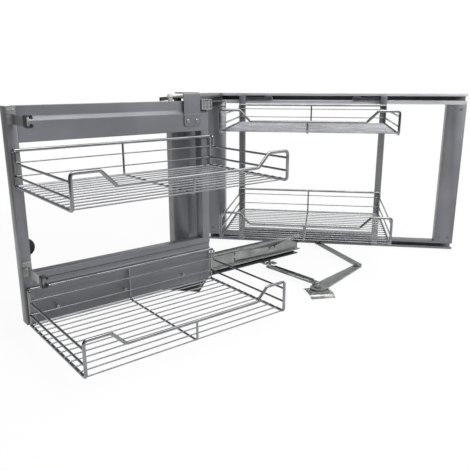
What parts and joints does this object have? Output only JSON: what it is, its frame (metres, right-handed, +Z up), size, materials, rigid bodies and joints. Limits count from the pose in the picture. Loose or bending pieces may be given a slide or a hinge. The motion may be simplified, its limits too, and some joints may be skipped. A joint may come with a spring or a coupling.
{
  "type": "blind corner pull out",
  "caption": "Blind corner pull out: a front unit with two wire baskets slides and swings out of the cabinet and draws a rear basket carriage across behind it.",
  "frame": {"origin": "on the cabinet floor at the swing axis, at the centre of the column's foot plate", "axes": "+Z up, +X along the rear frame, +Y into the cabinet"},
  "size_m": [1.1178, 1.1137, 0.537],
  "materials": {
    "grey_paint": "satin powder coat",
    "light_paint": "satin powder coat",
    "dark_paint": "satin powder coat",
    "zinc_steel": "zinc plated",
    "chrome_wire": "polished",
    "nylon": "moulded",
    "grey_plastic": "moulded",
    "black_plastic": "moulded",
    "rubber": "matte"
  },
  "bodies": {
    "root": {"rear_top_rail": "light_paint", "rear_bottom_rail": "grey_paint", "rear_left_post": "grey_paint", "rear_right_post": "grey_paint", "frame_screws": "grey_paint", "side_arm": "dark_paint", "front_column": "grey_paint", "pivot_post": "zinc_steel", "column_foot_plate": "dark_paint", "top_pin": "zinc_steel", "linkage_foot_plate": "zinc_steel", "crank_pin": "zinc_steel"},
    "swing_unit": {"base_rail": "dark_paint", "slide_outer": "zinc_steel", "hinge_bush": "nylon", "top_guide_arm": "dark_paint", "guide_studs": "zinc_steel", "guide_knob": "nylon", "catch_bracket": "zinc_steel", "catch_screws": "nylon", "rail_end_knob": "black_plastic"},
    "slide_middle": {"slide_middle": "zinc_steel", "ball_cages": "zinc_steel"},
    "front_unit": {"front_top_beam": "grey_paint", "front_bottom_beam": "grey_paint", "front_left_post": "grey_paint", "front_right_post": "grey_paint", "hook_bracket": "grey_paint", "hook_screws": "zinc_steel", "guide_block": "grey_plastic", "slide_inner": "zinc_steel", "slide_spacers": "black_plastic", "upper_front_floor": "chrome_wire", "upper_front_rails": "chrome_wire", "lower_front_floor": "chrome_wire", "lower_front_rails": "chrome_wire", "door_brackets": "zinc_steel", "door_bracket_pads": "black_plastic", "door_bumper": "rubber", "damper_catch": "black_plastic"},
    "carriage": {"carriage_left_post": "grey_paint", "carriage_right_post": "grey_paint", "carriage_crossbar": "dark_paint", "runner_plates": "dark_paint", "upper_rear_floor": "chrome_wire", "upper_rear_rails": "chrome_wire", "lower_rear_floor": "chrome_wire", "lower_rear_rails": "chrome_wire"},
    "top_roller_left": {"top_roller_left": "nylon"},
    "top_roller_right": {"top_roller_right": "nylon"},
    "bottom_roller_left": {"bottom_roller_left": "nylon"},
    "bottom_roller_right": {"bottom_roller_right": "nylon"},
    "guide_roller_front": {"guide_roller_front": "nylon"},
    "guide_roller_rear": {"guide_roller_rear": "nylon"},
    "crank": {"crank_arm": "zinc_steel", "crank_rivets": "zinc_steel"},
    "carriage_link": {"carriage_link": "zinc_steel"},
    "pickup_link": {"pickup_link": "zinc_steel"}
  },
  "joints": [
    {"name": "pull_out", "type": "slide", "parent": "swing_unit", "child": "front_unit", "axis": [-0.6756, -0.7373, 0], "range_m": [-0.4, 0]},
    {"name": "swing", "type": "hinge", "parent": "root", "child": "swing_unit", "pos_m": [0, 0, 0], "axis": [0, 0, 1], "range_deg": [0, 42.51]},
    {"name": "slide_extend", "type": "slide", "parent": "swing_unit", "child": "slide_middle", "axis": [-0.6756, -0.7373, 0], "range_m": [-0.2, 0]},
    {"name": "carriage_slide", "type": "slide", "parent": "root", "child": "carriage", "axis": [1, 0, 0], "range_m": [0, 0.245]},
    {"name": "top_left_roll", "type": "hinge", "parent": "carriage", "child": "top_roller_left", "pos_m": [0.188, 0.504, 0.507], "axis": [0, 1, 0], "continuous": true},
    {"name": "top_right_roll", "type": "hinge", "parent": "carriage", "child": "top_roller_right", "pos_m": [0.486, 0.504, 0.507], "axis": [0, 1, 0], "continuous": true},
    {"name": "bottom_left_roll", "type": "hinge", "parent": "carriage", "child": "bottom_roller_left", "pos_m": [0.188, 0.504, 0.014], "axis": [0, 1, 0], "continuous": true},
    {"name": "bottom_right_roll", "type": "hinge", "parent": "carriage", "child": "bottom_roller_right", "pos_m": [0.486, 0.504, 0.014], "axis": [0, 1, 0], "continuous": true},
    {"name": "guide_front_roll", "type": "hinge", "parent": "swing_unit", "child": "guide_roller_front", "pos_m": [0.02606, -0.06185, 0.505], "axis": [-0.7373, 0.6756, 0], "continuous": true},
    {"name": "guide_rear_roll", "type": "hinge", "parent": "swing_unit", "child": "guide_roller_rear", "pos_m": [0.06186, -0.02278, 0.505], "axis": [-0.7373, 0.6756, 0], "continuous": true},
    {"name": "crank_turn", "type": "hinge", "parent": "root", "child": "crank", "pos_m": [0.384, 0.012, 0.011], "axis": [0, 0, 1], "range_deg": [-7.5, 0]},
    {"name": "carriage_link_turn", "type": "hinge", "parent": "crank", "child": "carriage_link", "pos_m": [0.50266, 0.22004, 0.015], "axis": [0, 0, 1], "range_deg": [-43, 0]},
    {"name": "pickup_link_turn", "type": "hinge", "parent": "crank", "child": "pickup_link", "pos_m": [0.37949, 0.03761, 0.015], "axis": [0, 0, 1], "range_deg": [0, 7.5]}
  ],
  "couplings": [
    {"joint": "swing", "follows": "pull_out", "rad_per_m": -1.8544},
    {"joint": "slide_extend", "follows": "pull_out", "ratio": 0.5},
    {"joint": "carriage_slide", "follows": "pull_out", "ratio": -0.6125},
    {"joint": "crank_turn", "follows": "pull_out", "rad_per_m": 0.3231},
    {"joint": "carriage_link_turn", "follows": "pull_out", "rad_per_m": 1.8749},
    {"joint": "pickup_link_turn", "follows": "pull_out", "rad_per_m": -0.3231}
  ]
}
